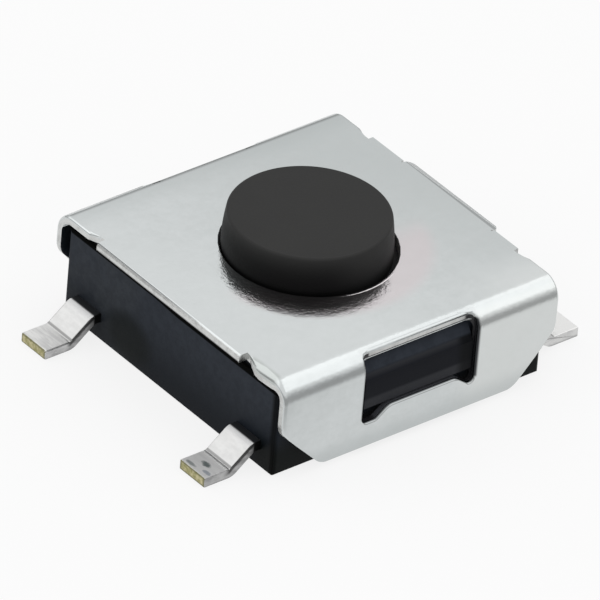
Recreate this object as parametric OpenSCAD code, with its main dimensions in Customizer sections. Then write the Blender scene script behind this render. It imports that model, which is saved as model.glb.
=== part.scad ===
// Surface-mount tactile push button switch with four gull-wing leads.
//
// A folded sheet-metal cover clips over a square moulded base. Two stamped
// lead frames are moulded into the base and show their contact pads in the
// floor of a round cavity. A snap disc sits on the pads of the outer frame,
// and the button stands on the disc and comes up through the cover.
//
// X runs along the bends of the cover, Y across its two flanges and Z up.
// The origin is the centre of the footprint, on the board. Millimetres.

/* [Cover] */
// Width of the cover along its bends
cover_w = 6.1; // [5.8:0.05:6.5]
// Depth over the outer faces of the two flanges
cover_d = 6.5; // [6.3:0.05:6.9]
// Thickness of the sheet metal
sheet = 0.15; // [0.1:0.01:0.2]
// Inside radius of the two bends
bend_r = 0.25; // [0.15:0.01:0.3]
// Height of a flange, from the top face of the cover to its lower edge
flange_h = 1.93; // [1.7:0.01:1.98]
// Leg of the cut across each lower corner of the front flange
corner_cut = 0.92; // [0.5:0.02:1.1]
// Leg of the same cut on the rear flange
rear_cut = 1.06; // [0.5:0.02:1.2]
// Radius that softens the ends of that cut
corner_r = 0.4; // [0.1:0.05:0.5]
// Diameter of the hole for the button
hole_d = 3.15; // [2.8:0.05:3.5]
// Radius rolled over the upper rim of the hole by the punch
rim_r = 0.05; // [0.02:0.01:0.08]

/* [Cover windows] */
// Width of the window in each flange
window_w = 2.48; // [2.0:0.02:2.8]
// Depth of the window's sill below the top face
sill_h = 1.23; // [1.0:0.01:1.3]
// How far the relief in each lower corner dips below the sill
relief_dip = 0.21; // [0.1:0.01:0.3]
// Width of the flat of the sill between the two reliefs
sill_w = 1.5; // [1.0:0.05:1.6]
// How far the sill lies off the middle of the window, towards +X
sill_shift = 0.08; // [0.0:0.01:0.1]
// Width of the flank that runs from the sill down into each relief
sill_flank = 0.28; // [0.2:0.02:0.34]
// Radius at the two ends of the sill
sill_r = 0.3; // [0.1:0.05:0.4]
// Radius in the corners of the window
window_r = 0.1; // [0.04:0.01:0.12]
// How far the top plate stops short of the flange's outer face in the window
lip_back = 0.2; // [0.16:0.01:0.3]

/* [Cover edges] */
// Half length of the long tab at the -X edge
long_tab = 2.02; // [1.5:0.01:2.1]
// How far the long tab stands proud, with its upper edge rounded to match
long_out = 0.08; // [0.02:0.01:0.1]
// Half length of the short tab at the +X edge
short_tab = 1.25; // [0.6:0.01:1.4]
// How far the middle of the short tab lies off the middle of the cover, towards -Y
short_shift = 0.1; // [0.0:0.01:0.15]
// Radius of the short tab's two corners, seen from above
short_r = 0.14; // [0.02:0.01:0.15]
// How far the short tab stands proud
short_out = 0.15; // [0.05:0.01:0.2]
// Angle by which the short tab is bent down, in degrees
short_droop = 16; // [5:1:25]
// Inside radius of that bend
droop_r = 0.1; // [0.05:0.01:0.15]
// Width of the slit at each end of the short tab
slit_w = 0.03; // [0.02:0.01:0.1]
// Width of the nicks beside the long tab and at the +X edge
nick_w = 0.1; // [0.06:0.01:0.2]
// Depth of a nick into the plate
nick_in = 0.1; // [0.04:0.01:0.15]
// Distance over which the edge runs back out from a nick
nick_run = 0.35; // [0.2:0.05:0.6]
// Distance from the middle of the cover to the nicks at the +X edge
nick_y = 2.05; // [1.7:0.01:2.15]

/* [Base] */
// Height of the moulded base
base_h = 1.89; // [1.75:0.01:2.2]
// How far the cover overhangs the base at each lead side
overhang = 0.06; // [0.0:0.01:0.12]
// Gap between the base and the inner face of each flange
flange_gap = 0.125; // [0.05:0.005:0.2]
// Clearance of the base above the board
standoff = 0.01; // [0.0:0.01:0.1]
// Radius of the upright edges of the base
base_r = 0.1; // [0.05:0.01:0.2]
// Bevel round the bottom of the base
base_bevel = 0.02; // [0.01:0.01:0.1]
// Clearance of the base's two upper edges below the bends of the cover
bend_clear = 0.03; // [0.01:0.01:0.06]
// Bevel along the base's upper edge at each lead side
side_bevel = 0.1; // [0.02:0.01:0.15]
// Clearance of the latch bosses in the windows
boss_gap = 0.05; // [0.02:0.01:0.08]
// How far each boss stays behind the outer face of its flange
boss_back = 0.07; // [0.03:0.01:0.1]
// Height of the ramp on top of each boss
boss_ramp = 0.45; // [0.2:0.05:0.6]
// Diameter of the support pin holes in the underside
pin_hole_d = 0.7; // [0.4:0.05:0.9]

/* [Leads] */
// Distance between the two leads of one side, centre to centre
pitch = 4.54; // [4.3:0.02:4.7]
// Width of a lead
lead_w = 0.7; // [0.5:0.01:0.75]
// Thickness of the lead frames
lead_t = 0.2; // [0.12:0.01:0.25]
// Distance from the side of the base to the toe of a foot
lead_reach = 1.2; // [1.1:0.02:1.5]
// Slope of a lead between the base and its foot, in degrees
lead_slope = 38; // [30:1:50]
// Inside radius of the bends of a lead
lead_r = 0.1; // [0.05:0.01:0.15]
// Straight run of a lead before its first bend
lead_run = 0.08; // [0.04:0.01:0.12]
// Thickness of the moulding under the lead frames
frame_lift = 0.35; // [0.25:0.01:0.4]
// Width of the tongue that carries the centre pad
tongue_w = 0.7; // [0.4:0.05:1.0]
// Diameter of the centre pad
pad_d = 1.1; // [0.8:0.05:1.4]
// Width of the arms that carry the two outer pads
arm_w = 0.5; // [0.3:0.02:0.6]
// Diameter of the outer pads
outer_pad_d = 0.7; // [0.6:0.02:0.8]
// How far the centre pad lies below the outer pads
pad_drop = 0.08; // [0.04:0.01:0.12]

/* [Button] */
// Height of the button above the cover
button_rise = 0.68; // [0.4:0.01:1.6]
// Radial clearance between the button and the hole
button_gap = 0.05; // [0.03:0.01:0.1]
// Radius that the button loses from its collar to its top
button_taper = 0.07; // [0.0:0.01:0.1]
// Radius of the button's upper edge
button_edge = 0.09; // [0.04:0.01:0.2]
// Width of the collar under the rim of the hole
collar_lip = 0.45; // [0.3:0.05:0.5]
// Thickness of the collar
collar_t = 0.4; // [0.25:0.05:0.5]
// Diameter of the pusher under the collar
pusher_d = 1.2; // [0.8:0.05:1.6]
// Travel of the button
travel = 0.25; // [0.2:0.01:0.3]

/* [Snap disc] */
// Thickness of the snap disc
disc_t = 0.06; // [0.05:0.01:0.08]
// Radial gap between the collar and the wall of the cavity
collar_gap = 0.15; // [0.1:0.01:0.2]
// Radial gap between the disc and the wall of the cavity
disc_gap = 0.1; // [0.05:0.01:0.15]

/* [Hidden] */

$fn = 96;
// Extra length of a cutter past the face that it cuts
over = 1;
// Finer division for the very flat arcs of the snap disc
disc_fn = 360;

// Heights above the board, from the leads upwards
frame_z = standoff + frame_lift;
frame_top = frame_z + lead_t;
floor_z = frame_top + pad_drop;
disc_rise = travel + disc_t - pad_drop;
disc_top = floor_z + disc_rise;
base_top = standoff + base_h;
cover_top = base_top + sheet;
button_top = cover_top + button_rise;
sill_z = cover_top - sill_h;

// Plan sizes, from the cover and the hole inwards
base_w = cover_w - 2 * overhang;
base_d = cover_d - 2 * (sheet + flange_gap);
bend_bevel = max(bend_r - flange_gap, 0) + bend_clear;
collar_d = hole_d + 2 * collar_lip;
cavity_d = collar_d + 2 * collar_gap;
disc_d = cavity_d - 2 * disc_gap;
boss_w = window_w - 2 * boss_gap;
outer_pad_x = disc_d / 2 - outer_pad_d / 4;
button_r = hole_d / 2 - button_gap;

// Length of the sloping stretch of a lead, so that its foot lands on the board
lead_ramp = (frame_z - (2 * lead_r + lead_t) * (1 - cos(lead_slope))) / sin(lead_slope);
// Flat length of a foot, so that its toe ends at the stated reach
foot_run = lead_reach - lead_run - (2 * lead_r + lead_t) * sin(lead_slope) - lead_ramp * cos(lead_slope);

// Unit vector from point a to point b
function toward(a, b) = (b - a) / norm(b - a);

// Polygon, drawn anticlockwise, whose corners are true arcs: radii[i] rounds
// pts[i], by a circle that is added, or cut away where the outline turns inwards
module soft_polygon(pts, radii) {
    n = len(pts);
    to_prev = [for (i = [0:n - 1]) toward(pts[i], pts[(i + n - 1) % n])];
    to_next = [for (i = [0:n - 1]) toward(pts[i], pts[(i + 1) % n])];
    half = [for (i = [0:n - 1]) acos(to_prev[i] * to_next[i]) / 2];
    centre = [for (i = [0:n - 1]) pts[i] + toward([0, 0], to_prev[i] + to_next[i]) * radii[i] / sin(half[i])];
    inward = [for (i = [0:n - 1]) cross(to_next[i], to_prev[i]) < 0];
    difference() {
        union() {
            polygon([for (i = [0:n - 1], leg = [to_prev[i], to_next[i]]) pts[i] + leg * radii[i] / tan(half[i])]);
            for (i = [0:n - 1])
                if (radii[i] > 0 && !inward[i]) translate(centre[i]) circle(radii[i]);
        }
        for (i = [0:n - 1])
            if (radii[i] > 0 && inward[i]) translate(centre[i]) circle(radii[i]);
    }
}

// Rectangle of size w by d about the origin, with corners of radius r
module soft_rect(w, d, r) {
    soft_polygon([[-w, -d] / 2, [w, -d] / 2, [w, d] / 2, [-w, d] / 2], [r, r, r, r]);
}

// Sector of a ring between two directions less than 180 degrees apart
module ring_sector(r_in, r_out, from, to) {
    reach = 2 * r_out / cos((to - from) / 4);
    intersection() {
        difference() {
            circle(r_out);
            circle(r_in);
        }
        polygon([[0, 0], for (a = [from, (from + to) / 2, to]) reach * [cos(a), sin(a)]]);
    }
}

// Side view of a bent strip of thickness t that starts at the origin and runs
// towards +X with its lower face on the X axis. Each step is [length, turn, r]:
// a straight, then a bend of inside radius r, upwards where turn is positive.
module bent_strip(steps, t, i = 0) {
    run = steps[i][0];
    turn = steps[i][1];
    r = steps[i][2];
    square([run, t]);
    if (turn > 0)
        translate([run, t + r]) {
            ring_sector(r, r + t, -90, turn - 90);
            rotate(turn) translate([0, -r - t]) bent_strip(steps, t, i + 1);
        }
    if (turn < 0)
        translate([run, -r]) {
            ring_sector(r, r + t, 90 + turn, 90);
            rotate(turn) translate([0, r]) bent_strip(steps, t, i + 1);
        }
}

// Stands a side view drawn in Y and Z along X, centred, over the length w
module along_x(w) {
    rotate([90, 0, 90]) linear_extrude(w, center = true) children();
}

// Stands a front view drawn in X and Z along Y, centred, over the depth d
module along_y(d) {
    rotate([90, 0, 0]) linear_extrude(d, center = true) children();
}

// Repeats its children as they are and mirrored across the plane of a normal
module both(normal) {
    children();
    mirror(normal) children();
}

// ---- Cover: one folded sheet ----

// Folded section from the side: flange, bend, top plate, bend and flange
module fold_section() {
    flange_run = flange_h - sheet - bend_r;
    translate([sheet - cover_d / 2, cover_top - flange_h])
        rotate(90)
            bent_strip([
                [flange_run, -90, bend_r],
                [cover_d - 2 * (sheet + bend_r), -90, bend_r],
                [flange_run, 0, 0]
            ], sheet);
}

// Upper half of one side edge of the blank, seen from above. Up to tab the edge
// lies at distance out from the main line. It then follows the main line, dips
// into the nick that starts at nick, and runs out to the main line again.
function edge_points(tab, out, nick) = [
    [cover_w / 2 + out, tab],
    if (nick > tab) [cover_w / 2, tab],
    if (nick > tab) [cover_w / 2, nick],
    [cover_w / 2 - nick_in, nick],
    [cover_w / 2 - nick_in, nick + nick_w],
    [cover_w / 2, nick + nick_run],
    [cover_w / 2, cover_d]
];

// The same points in reverse order, scaled by side, which holds 1 or -1 per axis
function turned(pts, side) = [for (i = [len(pts) - 1:-1:0]) [pts[i][0] * side[0], pts[i][1] * side[1]]];

// Blank of the cover from above, taken well past the flanges
module blank_outline() {
    far_right = edge_points(short_tab - short_shift + slit_w, -overhang, nick_y);
    near_right = edge_points(short_tab + short_shift + slit_w, -overhang, nick_y);
    left = turned(edge_points(long_tab, long_out, long_tab), [-1, 1]);
    polygon(concat(turned(near_right, [1, -1]), far_right, left, turned(left, [1, -1])));
}

// Height at which a flange's sides start, above the cut across its corner
function shoulder_z(cut) = cover_top - flange_h + cut + corner_r;

// One flange from the front, with the given cut across its two lower corners
// below, and the rounded edge of the long tab above
module flange_outline(cut) {
    w = cover_w / 2;
    low = cover_top - flange_h;
    shoulder = shoulder_z(cut);
    soft_polygon([
        [w - cut, low],
        [w, low + cut],
        [w, cover_top],
        [-w - long_out, cover_top],
        [-w - long_out, shoulder],
        [-w, shoulder],
        [-w, low + cut],
        [-w + cut, low]
    ], [corner_r, corner_r, 0, long_out, 0, 0, corner_r, corner_r]);
}

// Space outside the rear flange's outline, from the board up to its shoulders
module rear_corners() {
    translate([0, cover_d, 0])
        along_y(cover_d)
            difference() {
                translate([-cover_w, 0]) square([2 * cover_w, shoulder_z(rear_cut)]);
                flange_outline(rear_cut);
            }
}

// The short tab, bent down from the side of the base outwards
module short_stub() {
    bend_run = (droop_r + sheet) * sin(short_droop);
    flat_run = (overhang + short_out - bend_run) / cos(short_droop);
    translate([0, -short_shift, 0])
        intersection() {
            translate([base_w / 2 - sheet, 0, base_top])
                along_y(2 * short_tab)
                    bent_strip([[sheet, -short_droop, droop_r], [flat_run, 0, 0]], sheet);
            linear_extrude(cover_top + over) soft_rect(cover_w + 2 * short_out, 2 * short_tab, short_r);
        }
}

// The window from the front, with a relief in each lower corner of the sill
module window_outline() {
    low = sill_z - relief_dip;
    foot = sill_w / 2 + sill_flank;
    difference() {
        soft_polygon([
            [-window_w / 2, low],
            [window_w / 2, low],
            [window_w / 2, cover_top + over],
            [-window_w / 2, cover_top + over]
        ], [window_r, window_r, 0, 0]);
        translate([sill_shift, 0])
            soft_polygon([
                [-cover_w, low - over],
                [cover_w, low - over],
                [cover_w, low],
                [foot, low],
                [sill_w / 2, sill_z],
                [-sill_w / 2, sill_z],
                [-foot, low],
                [-cover_w, low]
            ], [0, 0, 0, window_r, sill_r, sill_r, window_r, 0]);
    }
}

// Space cut out of one flange and its bend, up to the lip of the top plate
module window_cut() {
    intersection() {
        along_y(2 * cover_d) window_outline();
        translate([0, cover_d - lip_back])
            linear_extrude(cover_top + over) soft_rect(window_w, cover_d, window_r);
    }
}

// Cutter that rounds over the upper rim of the hole
module rim_cut() {
    rotate_extrude()
        difference() {
            translate([hole_d / 2 - over / 4, cover_top - rim_r]) square([over / 4 + rim_r, over]);
            translate([hole_d / 2 + rim_r, cover_top - rim_r]) circle(rim_r);
        }
}

module cover() {
    color([0.79, 0.80, 0.80])
        difference() {
            union() {
                intersection() {
                    along_x(cover_w + 2 * over) fold_section();
                    linear_extrude(cover_top + over) blank_outline();
                    along_y(2 * cover_d) flange_outline(corner_cut);
                }
                short_stub();
            }
            rear_corners();
            both([0, 1, 0]) window_cut();
            cylinder(h = cover_top + over, d = hole_d);
            rim_cut();
        }
}

// ---- Lead frames: two stampings moulded into the base ----

// One gull-wing lead, drawn at the +X side with its root inside the base
module gull_wing() {
    root = lead_w;
    translate([base_w / 2 - root, 0, frame_z])
        along_y(lead_w)
            bent_strip([
                [root + lead_run, -lead_slope, lead_r],
                [lead_ramp, lead_slope, lead_r],
                [foot_run, 0, 0]
            ], lead_t);
}

// Side rail of a lead frame, with a lead at each end
module lead_rail() {
    translate([0, 0, frame_z + lead_t / 2]) cube([base_w, lead_w, lead_t], center = true);
    both([1, 0, 0]) gull_wing();
}

module centre_contact() {
    color([0.88, 0.88, 0.87]) {
        translate([0, pitch / 2, 0]) lead_rail();
        translate([0, 0, frame_z]) {
            linear_extrude(lead_t) {
                circle(d = pad_d);
                translate([-tongue_w / 2, 0]) square([tongue_w, pitch / 2]);
            }
        }
    }
}

module outer_contact() {
    color([0.88, 0.88, 0.87]) {
        translate([0, -pitch / 2, 0]) lead_rail();
        both([1, 0, 0]) {
            translate([outer_pad_x - arm_w / 2, -pitch / 2, frame_z]) cube([arm_w, pitch / 2, lead_t]);
            translate([outer_pad_x, 0, frame_z]) cylinder(h = lead_t + pad_drop, d = outer_pad_d);
        }
    }
}

// ---- Base: one moulding round the two frames ----

// Latch boss that fills one window, with a ramp for the flange to ride over
module boss() {
    out = cover_d / 2 - boss_back;
    low = sill_z + boss_gap;
    along_x(boss_w)
        polygon([
            [cavity_d / 2 + flange_gap, low],
            [out, low],
            [out, base_top - boss_ramp],
            [base_d / 2, base_top - bend_bevel],
            [cavity_d / 2 + flange_gap, base_top - bend_bevel]
        ]);
}

// Prism of length w that bevels an edge along X by leg; the edge lies at
// distance reach from the middle and at height z
module bevel_cut(reach, z, leg, w) {
    side = sqrt(2) * leg;
    translate([0, reach, z]) rotate([45, 0, 0]) cube([w, side, side], center = true);
}

module base() {
    color([0.17, 0.18, 0.21])
        difference() {
            union() {
                translate([0, 0, standoff]) linear_extrude(base_h) soft_rect(base_w, base_d, base_r);
                both([0, 1, 0]) boss();
            }
            translate([0, 0, floor_z]) cylinder(h = base_top, d = cavity_d);
            translate([0, 0, frame_top]) cylinder(h = base_top, d = pad_d);
            both([0, 1, 0]) bevel_cut(base_d / 2, base_top, bend_bevel, cover_w);
            both([0, 1, 0]) bevel_cut(base_d / 2, standoff, base_bevel, cover_w);
            both([1, 0, 0]) rotate(-90) {
                bevel_cut(base_w / 2, standoff, base_bevel, cover_d);
                bevel_cut(base_w / 2, base_top, side_bevel, cover_d);
            }
            for (x = [-outer_pad_x, 0, outer_pad_x])
                translate([x, 0, 0]) cylinder(h = frame_z, d = pin_hole_d);
            centre_contact();
            outer_contact();
        }
}

// ---- Snap disc: a shallow spherical cap that stands on its rim ----

module snap_disc() {
    // Outer radius of the sphere whose cap has this rim and this rise
    sphere_r = (pow(disc_d / 2, 2) + pow(disc_rise, 2)) / (2 * disc_rise);
    color([0.75, 0.76, 0.77])
        rotate_extrude()
            intersection() {
                translate([0, disc_top - sphere_r])
                    difference() {
                        circle(sphere_r, $fn = disc_fn);
                        circle(sphere_r - disc_t, $fn = disc_fn);
                    }
                translate([0, floor_z]) square([disc_d, disc_rise]);
            }
}

// ---- Button: one turned shape with a collar that the cover holds in ----

module button() {
    top_r = button_r - button_taper;
    color([0.23, 0.23, 0.23])
        rotate_extrude() {
            soft_polygon([
                [0, base_top],
                [button_r, base_top],
                [top_r, button_top],
                [0, button_top]
            ], [0, 0, button_edge, 0]);
            translate([0, base_top - collar_t]) square([collar_d / 2, collar_t]);
            translate([0, disc_top]) square([pusher_d / 2, base_top - disc_top]);
        }
}

base();
centre_contact();
outer_contact();
snap_disc();
button();
cover();
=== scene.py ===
import math

import bmesh
import bpy
import numpy as np
from mathutils import Matrix, Vector


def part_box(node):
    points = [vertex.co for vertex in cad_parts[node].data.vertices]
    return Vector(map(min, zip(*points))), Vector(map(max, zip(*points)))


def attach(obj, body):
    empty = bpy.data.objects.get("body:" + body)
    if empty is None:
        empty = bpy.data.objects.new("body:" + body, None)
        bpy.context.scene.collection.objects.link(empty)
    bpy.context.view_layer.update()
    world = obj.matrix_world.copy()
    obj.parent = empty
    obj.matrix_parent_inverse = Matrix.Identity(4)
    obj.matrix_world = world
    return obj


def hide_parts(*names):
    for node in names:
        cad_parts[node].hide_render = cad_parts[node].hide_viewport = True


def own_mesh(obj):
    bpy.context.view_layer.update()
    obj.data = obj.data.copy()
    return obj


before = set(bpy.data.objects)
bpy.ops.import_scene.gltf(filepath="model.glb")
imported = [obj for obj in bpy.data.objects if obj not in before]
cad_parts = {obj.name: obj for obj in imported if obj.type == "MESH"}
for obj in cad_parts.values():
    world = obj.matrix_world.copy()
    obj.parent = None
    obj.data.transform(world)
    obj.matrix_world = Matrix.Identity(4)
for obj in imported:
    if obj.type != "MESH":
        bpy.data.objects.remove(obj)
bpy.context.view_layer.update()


# ---------------------------------------------------------------------------
# Lead frames: two strips of copper alloy, stamped, formed into gull wings and
# plated with tin. They are moulded into the base, and the toe of each foot is
# sheared after plating, so the yellow metal shows on its end.
# ---------------------------------------------------------------------------


def whole_solid(node, name):
    """The solid of a CAD node as one new object: corners that lie together are merged, and flat faces are joined."""
    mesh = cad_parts[node].data.copy()
    mesh.name = name
    work = bmesh.new()
    work.from_mesh(mesh)
    bmesh.ops.remove_doubles(work, verts=work.verts, dist=2e-7)
    bmesh.ops.dissolve_limit(work, angle_limit=math.radians(0.5), verts=work.verts, edges=work.edges)
    work.to_mesh(mesh)
    work.free()
    mesh.materials.clear()
    piece = bpy.data.objects.new(name, mesh)
    bpy.context.collection.objects.link(piece)
    return piece


def face_table(mesh):
    """The centre and the normal of every face, as rows."""
    centre, normal = np.empty((2, 3 * len(mesh.polygons)))
    mesh.polygons.foreach_get("center", centre)
    mesh.polygons.foreach_get("normal", normal)
    return centre.reshape(-1, 3), normal.reshape(-1, 3)


def corner_table(mesh):
    """The place of every vertex, as rows."""
    place = np.empty(3 * len(mesh.vertices))
    mesh.vertices.foreach_get("co", place)
    return place.reshape(-1, 3)


def soften_edges(piece, width, steps=2, angle=35, weighted=False):
    """Edges sharper than the angle become arcs of the given width. The shading is smooth over all that is blunter."""
    mesh = piece.data
    mesh.polygons.foreach_set("use_smooth", np.ones(len(mesh.polygons), bool))
    mesh.set_sharp_from_angle(angle=math.radians(angle))
    bevel = piece.modifiers.new("soft edges", "BEVEL")
    bevel.width = width
    bevel.segments = steps
    bevel.limit_method = "WEIGHT" if weighted else "ANGLE"
    bevel.angle_limit = math.radians(angle)
    bevel.harden_normals = True
    bevel.use_clamp_overlap = True
    return bevel


class Wire:
    """One output of a shader node. An expression on wires and numbers adds the Math nodes that work it out."""

    def __init__(self, tree, socket):
        self.tree, self.socket = tree, socket

    def node(self, kind, settings, inputs, output=0):
        """A node of that type: its settings and the stops of its ramp are set first, then its values and links."""
        made = self.tree.nodes.new(kind)
        for key, value in settings.items():
            if key == "stops":
                ramp = made.color_ramp.elements
                while len(ramp) < len(value):
                    ramp.new(1)
                for stop, (position, colour) in zip(ramp, value):
                    stop.position = position
                    stop.color = (*colour, 1) if hasattr(colour, "__len__") else (colour, colour, colour, 1)
            else:
                setattr(made, key, value)
        for key, value in inputs.items():
            if isinstance(value, Wire):
                self.tree.links.new(value.socket, made.inputs[key])
            else:
                made.inputs[key].default_value = value
        return Wire(self.tree, made.outputs[output])

    def maths(self, operation, first, second):
        return self.node("ShaderNodeMath", {"operation": operation}, {0: first, 1: second})

    def __add__(self, other):
        return self.maths("ADD", self, other)

    def __radd__(self, other):
        return self.maths("ADD", other, self)

    def __sub__(self, other):
        return self.maths("SUBTRACT", self, other)

    def __rsub__(self, other):
        return self.maths("SUBTRACT", other, self)

    def __mul__(self, other):
        return self.maths("MULTIPLY", self, other)

    def __rmul__(self, other):
        return self.maths("MULTIPLY", other, self)

    def __abs__(self):
        return self.maths("ABSOLUTE", self, 0.0)

    def step(self, low, high):
        """0 below low, 1 above high and a smooth rise between them. With low above high it falls instead."""
        falls = low > high
        span = {"From Min": min(low, high), "From Max": max(low, high)}
        span.update({"To Min": float(falls), "To Max": float(not falls)})
        return self.node("ShaderNodeMapRange", {"interpolation_type": "SMOOTHSTEP"}, {"Value": self, **span})

    def blend(self, low, high):
        """The colour low where the wire is 0, high where it is 1. Each is a colour or a wire."""
        ends = {"A": low, "B": high}
        mix = self.tree.nodes.new("ShaderNodeMix")
        mix.data_type = "RGBA"
        self.tree.links.new(self.socket, mix.inputs[0])
        for socket in mix.inputs:
            if socket.type == "RGBA" and socket.name in ends:
                end = ends[socket.name]
                if isinstance(end, Wire):
                    self.tree.links.new(end.socket, socket)
                else:
                    socket.default_value = (*end, 1)
        return Wire(self.tree, [o for o in mix.outputs if o.type == "RGBA"][0])


def finish(name, constants):
    """A new material: its shader, with the constant sockets set, and the wire of place in millimetres."""
    material = bpy.data.materials.new(name)
    material.use_nodes = True
    tree = material.node_tree
    shader = tree.nodes["Principled BSDF"]
    for socket, value in constants.items():
        shader.inputs[socket].default_value = value
    start = Wire(tree, None)
    place = start.node("ShaderNodeTexCoord", {}, {}, "Object")
    place = start.node("ShaderNodeVectorMath", {"operation": "SCALE"}, {0: place, "Scale": 1000})
    return material, shader, place


def axes_of(place):
    """The X, Y and Z wires of a place, in millimetres."""
    return [place.node("ShaderNodeSeparateXYZ", {}, {0: place}, axis) for axis in "XYZ"]


def grain(place, per_mm, detail=3.0, roughness=0.5, stretch=(1, 1, 1), seed=(0, 0, 0)):
    """Noise from 0 to 1 with that many lumps to a millimetre. A stretch above 1 makes it finer along that axis."""
    spread = place.node("ShaderNodeMapping", {}, {"Vector": place, "Scale": stretch, "Location": seed})
    return place.node(
        "ShaderNodeTexNoise", {}, {"Vector": spread, "Scale": per_mm, "Detail": detail, "Roughness": roughness}
    )


def either(first, second):
    """1 where either of two masks is 1."""
    return 1 - (1 - first) * (1 - second)


def wire_to(shader, socket, wire):
    """The wire feeds that socket of the shader."""
    shader.id_data.links.new(wire.socket, shader.inputs[socket])


def bumped(shader, height, depth):
    """The height wire, from 0 to 1, stands as relief of that depth in metres."""
    normal = height.node("ShaderNodeBump", {}, {"Height": height, "Distance": depth, "Strength": 1.0})
    wire_to(shader, "Normal", normal)


toe_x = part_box("outer_contact")[1][0]


def sort_strip(mesh):
    """Faces that look along Y are the strip's sheared sides, slot 1, and those at the toes that look along X its ends,
    slot 2. All others are plated, slot 0."""
    centre, normal = face_table(mesh)
    kind = (np.abs(normal[:, 1]) > 0.7).astype(np.int32)
    kind[(np.abs(normal[:, 0]) > 0.9) & (np.abs(centre[:, 0]) > toe_x - 1e-5)] = 2
    mesh.polygons.foreach_set("material_index", kind)


def knock_aside(mesh):
    """The lead of the outer frame at +X is bent a little along Y and upwards: by 0.05 and 0.06 mm times the share of
    the way from the side of the base to the foot."""
    place = corner_table(mesh)
    place += np.array([0, 0.05e-3, 0.06e-3]) * np.clip((place[:, :1] - 3.05e-3) / 0.6e-3, 0, 1)
    mesh.vertices.foreach_set("co", place.ravel())


plating, shader, place = finish("tin plating", {})
across, along, height = axes_of(place)
reach = abs(across)
crystals = grain(place, 9, 4, 0.6)
wiped = grain(place, 4, 3, 0.6, (3, 0.6, 1))


at_root = (3.16, 3.12)


def stain(x, y, wide, deep):
    """1 in an oval of that half width and half depth about (x, y) and 0 outside it, with a ragged edge."""
    off_x, off_y = (across - x) * (1 / wide), (along - y) * (1 / deep)
    return (off_x * off_x + off_y * off_y + crystals * 2.4).step(2.4, 1.4)


tin = (crystals * 0.5 + wiped * 0.5).step(0.3, 0.7).blend((0.60, 0.60, 0.595), (0.70, 0.70, 0.695))
foot = reach.step(3.66, 3.70)
knocked = foot * across.step(1.0, -1.0)
streaks = grain(place, 5, 3, 0.6, (2.2, 0.35, 1)).step(0.40, 0.62)
tin = (foot * 0.9).blend(tin, (0.88, 0.88, 0.87))
tin = (knocked * streaks * 0.45).blend(tin, (0.50, 0.50, 0.50))
scuffed = knocked * along.step(0.5, -0.5)
tin = (scuffed * 0.7).blend(tin, (0.62, 0.62, 0.62))
stains = either(stain(-3.90, -2.29, 0.07, 0.13), stain(-4.10, -2.12, 0.045, 0.15) * 0.7)
tin = (scuffed * stains * 0.9).blend(tin, (0.08, 0.11, 0.11))
tin = (scuffed * stain(-4.05, -2.50, 0.05, 0.10) * 0.7).blend(tin, (0.22, 0.26, 0.31))
# Painted shade: a dark line along the crease at the foot.
crease = reach.step(3.585, 3.605) * reach.step(3.645, 3.625)
tin = (crease * 0.7).blend(tin, (0.16, 0.16, 0.16))
# Painted highlight: a band of near-white tin just beyond the crease.
crease_highlight = reach.step(3.63, 3.65) * reach.step(3.76, 3.70)
tin = crease_highlight.blend(tin, (0.80, 0.80, 0.79))
# Painted reflection of the black base: the flat root next to it is near-black and not metallic.
root_shade = reach.step(*at_root)
# Painted highlight: the top bend by the root is near-white, less metallic and rougher.
bend = reach.step(3.30, 3.18)
tin = bend.blend(tin, (0.86, 0.86, 0.86))
wire_to(shader, "Base Color", root_shade.blend(tin, (0.006, 0.007, 0.009)))
wire_to(shader, "Metallic", (1 - root_shade) * (1 - bend * 0.75) * (1 - knocked * 0.6))
wire_to(shader, "Roughness", crystals * 0.16 + 0.24 + foot * 0.14 + bend * 0.2)
bumped(shader, crystals * 0.5 + wiped * 0.5, 5e-6)

sheared_side, shader, place = finish("sheared side of the strip", {"Metallic": 1.0})
across, along, height = axes_of(place)
reach = abs(across)
tears = grain(place, 5, 4, 0.65, (0.7, 1, 1.6))
ramp_start, ramp_slope, strip_thickness = 3.044, 0.7813, 0.2
top_line = reach.maths("MAXIMUM", ramp_start - reach * ramp_slope, strip_thickness)
depth = top_line - height
# Painted light and shade: the sides of the leads at -X are darker than those at +X, and the foot side of the lead at
# -X, +Y is lighter.
shaded_side = tears.step(0.3, 0.7).blend((0.30, 0.30, 0.30), (0.54, 0.54, 0.54))
lit_foot_side = tears.step(0.3, 0.7).blend((0.40, 0.40, 0.40), (0.64, 0.64, 0.64))
shaded_side = reach.step(3.60, 3.75).blend(shaded_side, along.step(-0.5, 0.5).blend(shaded_side, lit_foot_side))
# Painted shade: on the -X leads the side is near-black along its top edge, up the slope.
rolled = (depth + tears * 0.05).step(0.15, 0.09) * reach.step(3.74, 3.62)
shaded_side = (rolled * 0.85).blend(shaded_side, (0.03, 0.03, 0.03))
# Painted shade: darker along the foot of the side, and near-black at the root.
shaded_side = (height.step(0.045, 0.015) * 0.5).blend(shaded_side, (0.12, 0.12, 0.12))
shaded_side = reach.step(*at_root).blend(shaded_side, (0.02, 0.02, 0.02))
lit_side = tears.step(0.3, 0.7).blend((0.62, 0.62, 0.62), (0.78, 0.78, 0.77))
# Painted shade: on the +X leads the side is darker low down.
lit_side = (height.step(0.13, 0.08) * 0.6).blend(lit_side, (0.30, 0.30, 0.30))
wire_to(shader, "Base Color", across.step(-1.0, 1.0).blend(shaded_side, lit_side))
wire_to(shader, "Roughness", tears * 0.15 + 0.38)
bumped(shader, tears, 6e-6)

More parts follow.
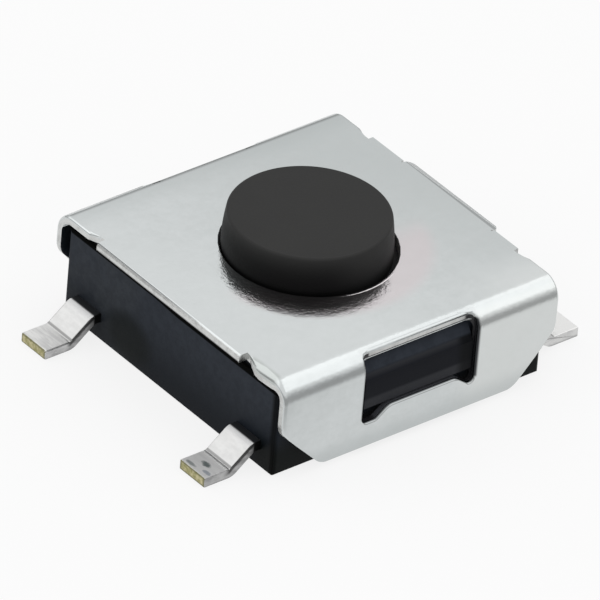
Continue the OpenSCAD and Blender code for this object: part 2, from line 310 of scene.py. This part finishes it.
bare_end, shader, place = finish("bare brass end", {"Metallic": 1.0})
across, along, height = axes_of(place)
shear = grain(place, 12, 4, 0.7)
brass = shear.step(0.3, 0.7).blend((0.28, 0.27, 0.10), (0.66, 0.60, 0.38))
lead_centre = 2.27
from_middle = abs(abs(along) - lead_centre)
border = 1 - height.step(0.02, 0.06) * height.step(0.19, 0.15) * from_middle.step(0.34, 0.27)
brass = (border * 0.8).blend(brass, (0.15, 0.15, 0.09))
wire_to(shader, "Base Color", across.step(-1.0, 1.0).blend(brass, (0.50, 0.50, 0.49)))
wire_to(shader, "Roughness", shear * 0.2 + 0.3)
bumped(shader, shear, 4e-6)

for node in ("outer_contact", "centre_contact"):
    lead_frame = whole_solid(node, "tinned_" + node)
    sort_strip(lead_frame.data)
    if node == "outer_contact":
        knock_aside(lead_frame.data)
    soften_edges(lead_frame, 0.036e-3, 3)
    for material in (plating, sheared_side, bare_end):
        lead_frame.data.materials.append(material)
    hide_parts(node)
    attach(lead_frame, "housing")


# ---------------------------------------------------------------------------
# Base: one injection moulding in black glass-filled nylon, cast round the two
# lead frames. Its bosses latch into the windows of the cover.
# ---------------------------------------------------------------------------

moulding, shader, place = finish("black glass-filled nylon", {"Specular IOR Level": 0.06})
across, along, height = axes_of(place)
clouds = grain(place, 1.1, 3, 0.55)
flow = grain(place, 5, 4, 0.65)
skin = grain(place, 30, 3, 0.6)
# Painted light and shade: the nylon is darker towards the bottom and lighter in cloudy patches towards +Y.
nylon = height.step(-0.1, 1.6).blend((0.0030, 0.0052, 0.0085), (0.0290, 0.0345, 0.0445))
nylon = (along.step(0.4, 1.6) * clouds.step(0.3, 0.6) * 0.4).blend(nylon, (0.0480, 0.0530, 0.0580))
nylon = (flow.step(0.35, 0.65) * 0.25).blend(nylon, (0.0060, 0.0080, 0.0120))
# Painted shade: a near-black patch on the -X face by the lead at +Y, and the front corner near-black low down.
from_lead = (along - 1.12) * (along - 1.12) + (height - 0.50) * (height - 0.50) * 1.6
lead_shade = from_lead.step(0.60, 0.08) * across.step(1.0, -1.0) * 0.7
corner = along.step(-2.25, -2.65) * height.step(0.85, 0.35)
nylon = either(lead_shade, corner * 0.85).blend(nylon, (0.0008, 0.0022, 0.0012))
# Painted shadow: a black line on the -X face just under the cover's edge, and a black band along the face's front edge.
lead_side = across.step(-2.9, -2.97)
cover_shadow = lead_side * (height + along.step(-0.2, 0.6) * -0.04).step(1.665, 1.690)
edge_band = lead_side * along.step(-2.80, -2.90) * 0.8
nylon = either(cover_shadow, edge_band).blend(nylon, (0.0, 0.0002, 0.0))
front = along.step(-3.08, -3.12)
# Painted light and shade: the boss's sloping faces are lighter and its upright face darker.
ramp = front * (1 - height.step(1.02, 1.10) * height.step(1.58, 1.42))
boss = ramp.blend((0.0060, 0.0070, 0.0105), (0.0290, 0.0305, 0.0350))
chips = grain(place, 6, 3, 0.6, (1, 1, 1), (0, 1.7, 0)).step(0.51, 0.57)
chips = chips * height.step(1.66, 1.74) * height.step(1.90, 1.84)
boss = (chips * 0.9).blend(boss, (0.10, 0.10, 0.10))
# Painted shade: the boss is near-black by the window's +X wall.
boss = (across.step(0.80, 1.02) * 0.85).blend(boss, (0.0010, 0.0015, 0.0020))
nylon = (front * across.step(-1.25, -1.20) * across.step(1.25, 1.20)).blend(nylon, boss)
wire_to(shader, "Base Color", nylon)
wire_to(shader, "Roughness", skin * 0.12 + 0.42 + cover_shadow * 0.4)
bumped(shader, skin, 1.2e-6)

base = whole_solid("base", "base_moulding")
soften_edges(base, 0.02e-3)
base.data.materials.append(moulding)
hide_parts("base")
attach(base, "housing")


# ---------------------------------------------------------------------------
# Snap disc: a shallow dome punched from thin spring steel. It stands on its
# rim in the cavity and clicks through under the button.
# ---------------------------------------------------------------------------


def turned(name, profile, count=192, centre=(0.0, 0.0)):
    """A closed solid of revolution about an upright axis. The profile is rows of (radius, height) that start and end on
    the axis; point (i, j) is at angle 2 pi i / count round the centre, at radius r_j and height z_j."""
    radius, level = np.asarray(profile, float)[1:-1].T
    angle = np.arange(count)[:, None] * (2 * np.pi / count)
    heights = np.broadcast_to(level, (count, len(level)))
    grid = np.stack([np.cos(angle) * radius, np.sin(angle) * radius, heights], -1)
    grid[..., :2] += centre
    poles = np.array([[*centre, profile[0][1]], [*centre, profile[-1][1]]])
    rows = len(level)
    i, j = np.meshgrid(np.arange(count), np.arange(rows - 1), indexing="ij")
    k = (i + 1) % count
    sides = np.stack([i * rows + j, k * rows + j, k * rows + j + 1, i * rows + j + 1], -1).reshape(-1, 4)
    ring = np.arange(count)
    after = (ring + 1) % count
    first, last = count * rows, count * rows + 1
    lower = np.stack([np.full(count, first), after * rows, ring * rows], -1)
    upper = np.stack([np.full(count, last), ring * rows + rows - 1, after * rows + rows - 1], -1)
    mesh = bpy.data.meshes.new(name)
    mesh.from_pydata(
        np.concatenate([grid.reshape(-1, 3), poles]).tolist(), [], sides.tolist() + lower.tolist() + upper.tolist()
    )
    mesh.polygons.foreach_set("use_smooth", np.ones(len(mesh.polygons), bool))
    mesh.set_sharp_from_angle(angle=math.radians(35))
    piece = bpy.data.objects.new(name, mesh)
    bpy.context.collection.objects.link(piece)
    return piece


def arc(centre, radius, start, end, count):
    """Points (r, z) round a centre from one angle to another, in degrees."""
    t = np.radians(np.linspace(start, end, count))
    return np.stack([centre[0] + radius * np.cos(t), centre[1] + radius * np.sin(t)], -1)


low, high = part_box("snap_disc")
disc_radius, disc_sheet = high[0], 0.06e-3
disc_rise = high[2] - low[2]
sphere = (disc_radius**2 + disc_rise**2) / (2 * disc_rise)
share = np.linspace(0, 1, 24)[:, None]
rim_radius = math.sqrt((sphere - disc_sheet) ** 2 - (sphere - disc_rise) ** 2)
under = np.hstack([share * rim_radius, np.sqrt((sphere - disc_sheet) ** 2 - (share * rim_radius) ** 2)])
over = np.hstack([share * disc_radius, np.sqrt(sphere**2 - (share * disc_radius) ** 2)])
dome = np.concatenate([under, over[::-1]]) + (0, high[2] - sphere)

spring, shader, place = finish("spring steel", {"Metallic": 1.0})
rolled = grain(place, 3, 4, 0.6, (1, 12, 1))
wire_to(shader, "Base Color", rolled.blend((0.50, 0.51, 0.52), (0.62, 0.63, 0.64)))
wire_to(shader, "Roughness", rolled * 0.15 + 0.2)

disc = turned("snap_dome", dome)
disc.data.materials.append(spring)
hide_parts("snap_disc")
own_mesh(disc)
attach(disc, "housing")


# ---------------------------------------------------------------------------
# Button: one moulding in black plastic, matt from a spark-eroded mould. Its
# collar sits under the rim of the cover's hole. Its side is painted darker
# towards the foot, less so on the right: painted shade.
# ---------------------------------------------------------------------------

low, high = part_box("button")
collar_radius = high[0]
foot, crown = low[2], high[2]
base_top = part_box("base")[1][2]
pusher_radius, stem_radius, crown_radius, collar_depth = 0.6e-3, 1.525e-3, 1.468e-3, 0.4e-3
edge = 0.05e-3
off_centre = (-0.022e-3, 0.031e-3)
side_share = np.linspace(0, 1, 16)
side_radius = stem_radius - (stem_radius - crown_radius) * side_share**2.2
side_height = base_top + side_share * (crown - edge - base_top)
profile = np.concatenate(
    [
        [(0, foot), (pusher_radius * 0.5, foot)],
        arc((pusher_radius - 0.04e-3, foot + 0.04e-3), 0.04e-3, -90, 0, 5),
        [(pusher_radius, base_top - collar_depth)],
        arc((collar_radius - 0.03e-3, base_top - collar_depth + 0.03e-3), 0.03e-3, -90, 0, 5),
        arc((collar_radius - 0.03e-3, base_top - 0.03e-3), 0.03e-3, 0, 90, 5),
        np.stack([side_radius, side_height], -1),
        arc((crown_radius - edge, crown - edge), edge, 12, 90, 12),
        [(crown_radius * 0.6, crown), (crown_radius * 0.2, crown), (0, crown)],
    ]
)

matt, shader, place = finish("matt black plastic", {"Specular IOR Level": 0.15})
across, along, height = axes_of(place)
spark = grain(place, 22, 4, 0.6)
haze = grain(place, 1.2, 2, 0.5)
dye = haze.blend((0.026, 0.026, 0.0255), (0.030, 0.030, 0.0295))
rise = height.maths("MAXIMUM", (height - 2.10) * (1 / 0.60), 0.0)
steep, gentle = rise.maths("POWER", rise, 2.5), height.step(2.05, 2.70)
# Painted shade: the side is dark at the foot and rises to the plastic's own colour, steeply at the centre and left,
# gently and from a lighter foot on the right.
right = (across * 0.754 - along * 0.656).step(0.3, 1.2)
foot_shade = right.blend((0.0010, 0.0010, 0.0012), (0.0080, 0.0080, 0.0082))
wire_to(shader, "Base Color", (right * gentle + (1 - right) * steep).blend(foot_shade, dye))
wire_to(shader, "Roughness", spark * 0.15 + 0.5)
bumped(shader, spark, 2e-6)

button = turned("round_button", profile, centre=off_centre)
button.data.materials.append(matt)
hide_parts("button")
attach(button, "button")


# ---------------------------------------------------------------------------
# Cover: stainless sheet, blanked and folded over the base. The punch has
# rolled over its edges at the loose corners and round the windows, and the
# cut faces are torn and grey.
# ---------------------------------------------------------------------------

low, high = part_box("cover")
half_depth = high[1]
cover_top = high[2]
fold, sheet = 0.4e-3, 0.15e-3

cover = whole_solid("cover", "folded_cover")


def skin_distance(points):
    """How far each point stands from the core of the fold, and the direction it stands in. The core is the flat box
    inside the bends: the nearest point on it has the same x, y held to the bend lines and z held below them."""
    core = points.copy()
    core[:, 1] = np.clip(points[:, 1], -(half_depth - fold), half_depth - fold)
    core[:, 2] = np.minimum(points[:, 2], cover_top - fold)
    gap = points - core
    far = np.linalg.norm(gap, axis=1)
    return far, gap / np.maximum(far, 1e-9)[:, None]


def sort_faces(mesh):
    """Faces that look along the fold's own radius are skin, slot 0, and those that look across it are cut, slot 1. The
    lips' faces cut the bends at a slant, so the flanges have a closer limit."""
    centre, normal = face_table(mesh)
    facing = (normal * skin_distance(centre)[1]).sum(1)
    limit = np.where(np.abs(centre[:, 1]) > 2.8e-3, 0.8, 0.6)
    mesh.polygons.foreach_set("material_index", (np.abs(facing) < limit).astype(np.int32))


def mark_edges(mesh):
    """The edges that the punch rolled over: those of the outer skin round the loose corners and the windows, where the
    faces turn by over 35 degrees."""
    centre, normal = face_table(mesh)
    facing = (normal * skin_distance(centre)[1]).sum(1)
    loops, edges = len(mesh.loops), len(mesh.edges)
    edge_of = np.empty(loops, np.int32)
    face_of = np.repeat(np.arange(len(centre)), [p.loop_total for p in mesh.polygons])
    mesh.loops.foreach_get("edge_index", edge_of)
    pair = face_of[np.argsort(edge_of, kind="stable")].reshape(-1, 2)
    turn = (normal[pair[:, 0]] * normal[pair[:, 1]]).sum(1) < math.cos(math.radians(35))
    ends = np.empty(2 * edges, np.int32)
    mesh.edges.foreach_get("vertices", ends)
    x, y, z = np.abs(corner_table(mesh)[ends].reshape(-1, 2, 3).mean(1)).T * 1e3
    loose = (x > 2.75) & (y > 2.14)
    window = (x < 1.35) & (y > 2.8)
    outside = (facing[pair] > 0.6).any(1)
    weight = (turn & outside & (loose | window)).astype(float)
    mesh.attributes.new("bevel_weight_edge", "FLOAT", "EDGE").data.foreach_set("value", weight)


def roll_edges(width, steps):
    """The marked edges become arcs in the mesh itself: skin, slot 0, of that width times the mark."""
    bevel = soften_edges(cover, width, steps, 35, weighted=True)
    bevel.material = 0
    bevel.harden_normals = False
    bevel.use_clamp_overlap = False
    formed = bpy.data.meshes.new_from_object(cover.evaluated_get(bpy.context.evaluated_depsgraph_get()))
    cover.modifiers.clear()
    cover.data = formed


def drag_corner(mesh):
    """Between the nick and the bend the punch has dragged the edge down: within a strip that narrows from 0.2 to 0.14
    mm the sheet sinks by 0.11 mm, falling to 0.09 mm, times s^2, where s grows from 0 to 1 towards the edge. In the
    bend that dies out. The mesh is first cut into narrow rows, 0.02 mm apart in X and 0.05 mm in Y."""
    work = bmesh.new()
    work.from_mesh(mesh)
    for axis, first, last, step in ((0, -2.84e-3, -3.04e-3, -0.02e-3), (1, -1.95e-3, -2.96e-3, -0.05e-3)):
        for cut in np.arange(first, last, step):
            near = [f for f in work.faces if cut == first or f.calc_center_bounds()[axis] < first]
            parts = set(near) | {e for f in near for e in f.edges} | {v for f in near for v in f.verts}
            plane = np.eye(3)[axis]
            bmesh.ops.bisect_plane(work, geom=list(parts), plane_co=plane * cut, plane_no=plane, dist=1e-8)
    work.to_mesh(mesh)
    work.free()
    place = corner_table(mesh)
    edge = -2.95e-3 - 0.1e-3 * np.clip((-2.12e-3 - place[:, 1]) / 0.25e-3, 0, 1)
    narrow = np.clip((-2.5e-3 - place[:, 1]) / 0.35e-3, 0, 1)
    strip = 0.2e-3 - 0.06e-3 * narrow
    share = np.clip((edge + strip - place[:, 0]) / strip, 0, 1)
    start = np.clip((-2.0e-3 - place[:, 1]) / 0.5e-3, 0, 1)
    way = skin_distance(place)[1]
    end = np.clip(1 - np.degrees(np.arctan2(-way[:, 1], way[:, 2])) / 60, 0, 1)
    place[:, 2] -= (0.11e-3 - 0.02e-3 * narrow) * share**2 * start * end * (place[:, 1] < -1.95e-3)
    mesh.vertices.foreach_set("co", place.ravel())
    mesh.update()


def trim_lip(mesh):
    """The lip's lower corner at -X is nipped off: its edge rises by 0.17 mm over the last 0.5 mm."""
    place = corner_table(mesh)
    share = np.clip((-2.3e-3 - place[:, 0]) / 0.5e-3, 0, 1) * np.clip((1.7e-3 - place[:, 2]) / 0.4e-3, 0, 1)
    place[:, 2] += 0.17e-3 * share * (place[:, 1] > 2.8e-3)
    mesh.vertices.foreach_set("co", place.ravel())
    mesh.update()


def true_normals(mesh):
    """Shading: smooth over turns below 35 degrees, and where a face lies along the fold its corners take the fold's own
    direction. In the dragged corner they keep the direction of the mesh."""
    mesh.polygons.foreach_set("use_smooth", np.ones(len(mesh.polygons), bool))
    mesh.set_sharp_from_angle(angle=math.radians(35))
    corner, vertex = np.empty(3 * len(mesh.loops)), np.empty(len(mesh.loops), np.int32)
    mesh.corner_normals.foreach_get("vector", corner)
    mesh.loops.foreach_get("vertex_index", vertex)
    point = corner_table(mesh)[vertex]
    way = skin_distance(point)[1]
    normal = np.repeat(face_table(mesh)[1], [p.loop_total for p in mesh.polygons], axis=0)
    facing = (normal * way).sum(1)
    dragged = (point[:, 0] < -2.841e-3) & (point[:, 1] < -1.951e-3)
    met = np.zeros(len(mesh.vertices), bool)
    met[vertex[(np.abs(facing) > math.cos(math.radians(14))) & ~dragged]] = True
    along_fold = met[vertex] & ~dragged & (np.abs(facing) > math.cos(math.radians(35)))
    folded_way = way * np.sign(facing)[:, None]
    mesh.normals_split_custom_set(np.where(along_fold[:, None], folded_way, corner.reshape(-1, 3)).tolist())


rolled_steel, shader, place = finish("rolled stainless sheet", {"Metallic": 1.0})
across, along, height = axes_of(place)
mottle = grain(place, 3.2, 4, 0.6)
streak = grain(place, 7, 3, 0.6, (0.4, 1, 1))
specks = grain(place, 13, 3, 0.6)
clouded = (mottle * 0.55 + streak * 0.2 + specks * 0.25).step(0.3, 0.7)
steel = clouded.blend((0.625, 0.655, 0.655), (0.675, 0.705, 0.708))
# Painted light and shade on the top plate: lighter towards -X and -Y and at the front on the +X side, darker towards +X
# and +Y and along the back edge.
flat = height.step(1.98, 2.04)
light_falloff = across * 0.8 + along * 0.45
steel = (flat * light_falloff.step(-0.8, 2.9) * 0.75).blend(steel, (0.53, 0.56, 0.56))
steel = (flat * light_falloff.step(-0.2, -2.2) * 0.5).blend(steel, (0.74, 0.77, 0.77))
steel = (flat * along.step(2.35, 3.1) * 0.35).blend(steel, (0.42, 0.45, 0.45))
front = along.step(-3.0, -3.15)
steel = (flat * along.step(-1.9, -2.9) * across.step(0.8, 2.8) * 0.5).blend(steel, (0.80, 0.82, 0.81))
# Painted light and shade on the front flange: lighter right of the window and darker towards the foot.
steel = (front * across.step(0.6, 1.4) * 0.55).blend(steel, (0.74, 0.76, 0.745))
steel = (front * height.step(0.62, 0.15) * 0.5).blend(steel, (0.46, 0.49, 0.49))
reach = abs(across)
# Painted shade: the window's sill and side walls are near-black.
shaded_window_sill = along.step(-3.246, -3.215) * along.step(-3.15, -3.17) * height.step(1.60, 1.50) * reach.step(1.34, 1.30)
shaded_window_side = reach.step(1.31, 1.255) * reach.step(1.22, 1.235) * along.step(-2.98, -3.02)
shaded_window_side = shaded_window_side * height.step(1.93, 1.86) * height.step(0.66, 0.73)
steel = either(shaded_window_sill, shaded_window_side).blend(steel, (0.04, 0.042, 0.045))
dragged = across.step(-2.87, -2.96) * along.step(-2.08, -2.25) * along.step(-3.0, -2.86)
steel = (dragged * 0.85).blend(steel, (0.53, 0.56, 0.545))
flat_place = place.node("ShaderNodeVectorMath", {"operation": "MULTIPLY"}, {0: place, 1: (1, 1, 0)})
radius = place.node("ShaderNodeVectorMath", {"operation": "LENGTH"}, {0: flat_place}, "Value")
# Painted reflection: a pink tint on the top plate round the front of the hole.
pink_reflection = radius.step(2.35, 2.0) * flat * along.step(-0.2, -0.9)
steel = (pink_reflection * 0.5).blend(steel, (0.72, 0.62, 0.64))
wire_to(shader, "Base Color", steel)
folded = along.step(-2.72, -2.88) * height.step(1.60, 1.70)
lip_edge = reach.step(1.32, 1.26) * along.step(-2.96, -3.0) * height.step(1.72, 1.78)
wire_to(shader, "Roughness", mottle * 0.05 + 0.07 + pink_reflection * 0.05 + folded * 0.10 + lip_edge * 0.16)
crown = radius.step(2.9, 1.5)
burr = radius.step(1.66, 1.63) * radius.step(1.59, 1.61) * along.step(-1.36, -1.53) * across.step(-0.80, -0.30)
ragged = grain(place, 7, 4, 0.7) * radius.step(2.4, 1.9)
peel = grain(place, 11, 3, 0.65) * folded
relief = crown * 0.041 + grain(place, 26, 3, 0.6) * 0.0005 + burr * 0.006 + ragged * 0.009 + peel * 0.004
bumped(shader, relief, 1e-3)

torn_steel, shader, place = finish("sheared steel edge", {})
across, along, height = axes_of(place)
reach = abs(across)
tears = grain(place, 7, 4, 0.65)
torn = tears.step(0.3, 0.6).blend((0.56, 0.565, 0.555), (0.73, 0.74, 0.73))
# Painted shade: the lowest part of the cut face along the tabs is near-black.
under_tab = reach.step(3.0, 3.05) * abs(along).step(2.03, 2.0) * height.step(1.935, 1.900)
torn = under_tab.blend(torn, (0.01, 0.01, 0.01))
# Painted shade: the cut faces in the windows are dark and not metallic, a little lighter at the middle higher up.
inside = reach.step(1.40, 1.36) * along.step(-2.6, -2.75) * (1 - reach.step(1.10, 1.04) * height.step(1.865, 1.885))
cut = (reach.step(0.98, 0.90) * height.step(1.2, 1.1)).blend((0.012, 0.012, 0.014), (0.060, 0.063, 0.072))
wire_to(shader, "Base Color", inside.blend(torn, cut))
wire_to(shader, "Metallic", 1 - inside)
wire_to(shader, "Roughness", tears * 0.2 + 0.32)
bumped(shader, tears, 5e-6)

cover.data.materials.append(rolled_steel)
cover.data.materials.append(torn_steel)
sort_faces(cover.data)
mark_edges(cover.data)
roll_edges(0.055e-3, 3)
drag_corner(cover.data)
trim_lip(cover.data)
true_normals(cover.data)
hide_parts("cover")
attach(cover, "housing")


# ---------------------------------------------------------------------------
# Bench: a white board under the switch, in a light tent. Both look white. In
# the metal's reflections the board is dimmer in front of the switch, and the
# tent is dimmer low down.
# ---------------------------------------------------------------------------

board_half, board_top = 0.6, -4e-6
mesh = bpy.data.meshes.new("white_board")
signs = [(-1, -1), (1, -1), (1, 1), (-1, 1)]
mesh.from_pydata([(x * board_half, y * board_half, board_top) for x, y in signs], [], [(0, 1, 2, 3)])
board = bpy.data.objects.new("white_board", mesh)
bpy.context.collection.objects.link(board)

paper = {"Base Color": (0.82, 0.82, 0.82, 1), "Roughness": 0.9, "Specular IOR Level": 0.0}
white, shader, place = finish("white board", paper)
tree = white.node_tree
across, along, _ = axes_of(place)
seen = place.node("ShaderNodeLightPath", {}, {}, "Is Camera Ray")
mirrored = place.node("ShaderNodeLightPath", {}, {}, "Is Glossy Ray")
near = (along * -1 - across * 0.35).step(8.5, 4.3)
shade = seen.blend(near.blend((0.40, 0.40, 0.40), (0.86, 0.86, 0.86)), (1, 1, 1))
glow = place.node("ShaderNodeEmission", {}, {"Color": shade, "Strength": 1.0})
lit = Wire(tree, shader.outputs[0])
mix = place.node("ShaderNodeMixShader", {}, {0: seen * 0.82 + mirrored * 0.95, 1: lit, 2: glow})
tree.links.new(mix.socket, tree.nodes["Material Output"].inputs["Surface"])
board.data.materials.append(white)

tent = bpy.data.worlds.new("light tent")
tent.use_nodes = True
bpy.context.scene.world = tent
tent_tree = tent.node_tree
start = Wire(tent_tree, None)
sight = start.node("ShaderNodeTexCoord", {}, {}, "Generated")
uphill = start.node("ShaderNodeSeparateXYZ", {}, {0: sight}, "Z")
wall_stops = [(0.0, 0.42), (0.11, 0.45), (0.25, 0.66), (0.40, 0.90), (1.0, 0.93)]
wall = uphill.node("ShaderNodeValToRGB", {"stops": wall_stops}, {0: uphill})
seen_wall = start.node("ShaderNodeLightPath", {}, {}, "Is Camera Ray")
tent_tree.links.new(seen_wall.blend(wall, (1, 1, 1)).socket, tent_tree.nodes["Background"].inputs["Color"])


def lamp_panel(name, towards, along, size, radiance, away=0.5):
    """A flat lamp that faces the switch from a direction, its long side turned along another. Its power is
    radiance * pi * width * height, so its face is as bright as a white surface times the radiance."""
    back = Vector(towards).normalized()
    up = (Vector(along) - back * back.dot(Vector(along))).normalized()
    light = bpy.data.lights.new(name, "AREA")
    light.shape = "RECTANGLE"
    light.size, light.size_y = size
    light.energy = radiance * math.pi * size[0] * size[1]
    panel = bpy.data.objects.new(name, light)
    turn = Matrix([up.cross(back), up, back]).transposed().to_4x4()
    panel.matrix_world = Matrix.Translation(Vector((0, 0, 2e-3)) + back * away) @ turn
    bpy.context.collection.objects.link(panel)


lamp_panel("front panel", (0.54, -0.27, 0.80), (0, -0.925, -0.379), (0.5, 0.60), 0.40)
lamp_panel("left panel", (-0.50, 0.62, 0.60), (0, 1, 0), (0.5, 0.45), 0.35)


# ---------------------------------------------------------------------------
# The view: a long lens, nearly parallel, from above the corner between the
# lead side and the front flange.
# ---------------------------------------------------------------------------

turn, tilt, roll = (math.radians(angle) for angle in (41.058, 34.398, 5.075))
camera_distance, aim_right, aim_up = 0.25, 0.1615e-3, 0.9658e-3
ahead = np.array([math.sin(turn) * math.cos(tilt), math.cos(turn) * math.cos(tilt), -math.sin(tilt)])
horizontal = np.array([math.cos(turn), -math.sin(turn), 0.0])
upright = np.cross(horizontal, ahead)
right_of_view = math.cos(roll) * horizontal + math.sin(roll) * upright
top_of_view = -math.sin(roll) * horizontal + math.cos(roll) * upright
target = np.array([0, 0, cover_top]) - right_of_view * aim_right - top_of_view * aim_up
eye = target - ahead * camera_distance
lens = bpy.data.cameras.new("long lens")
lens.sensor_width = 36
lens.lens = 859.3
lens.clip_start = 0.01
lens.clip_end = 10
camera = bpy.data.objects.new("camera", lens)
axes = np.stack([right_of_view, top_of_view, -ahead], 1)
camera.matrix_world = Matrix([(*row, e) for row, e in zip(axes, eye)] + [(0, 0, 0, 1)])
bpy.context.collection.objects.link(camera)
scene = bpy.context.scene
scene.camera = camera
scene.view_settings.view_transform = "Standard"
